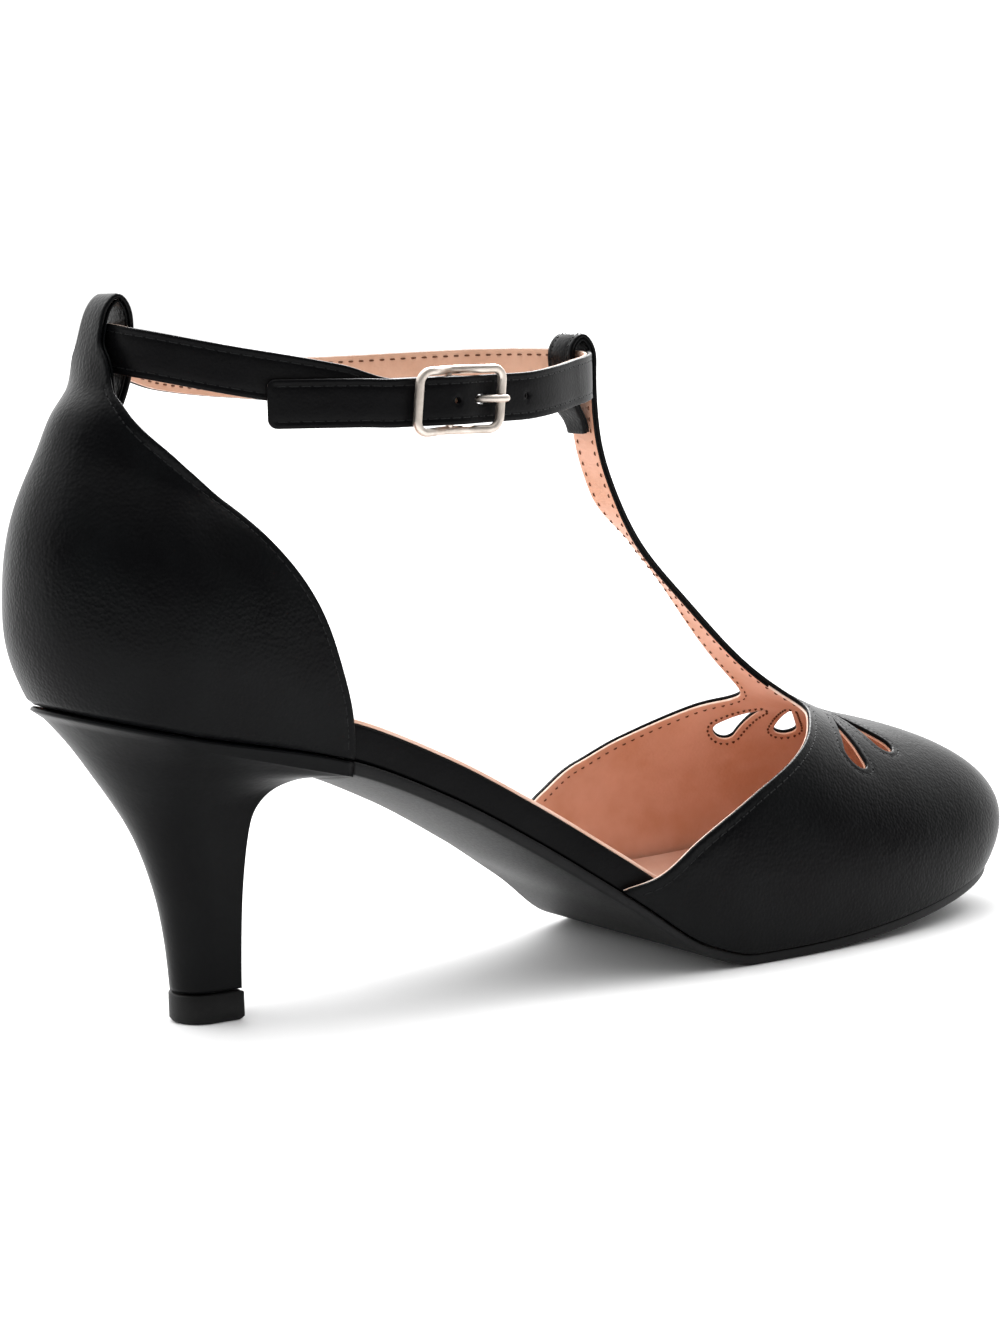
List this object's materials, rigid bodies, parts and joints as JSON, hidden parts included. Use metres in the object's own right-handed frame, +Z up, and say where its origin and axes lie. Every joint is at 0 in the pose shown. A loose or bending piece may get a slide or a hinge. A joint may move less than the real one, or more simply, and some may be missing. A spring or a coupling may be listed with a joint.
{
  "type": "t strap shoe",
  "caption": "Women's T-strap pump on a slim curved mid heel: low vamp with teardrop cut-outs, open waist, high counter, buckled ankle strap through two folded loops.",
  "frame": {"origin": "on the floor under the middle of the shoe's box", "axes": "+X to the toe, +Y to the inner side of the foot, +Z up"},
  "size_m": [0.2428, 0.0748, 0.1472],
  "materials": {
    "leather": "smooth black imitation leather, satin",
    "heel_cover": "smooth black cover, satin",
    "rubber": "black moulded rubber, dull",
    "sock": "peach imitation leather lining, matt",
    "nickel": "polished nickel"
  },
  "bodies": {
    "root": {"upper_vamp": "leather", "upper_counter": "leather", "ankle_strap": "leather", "footbed": "leather", "heel": "heel_cover", "heel_tip": "rubber", "outsole": "rubber", "sock_lining": "sock", "buckle_frame": "nickel", "buckle_prong": "nickel"}
  },
  "joints": []
}
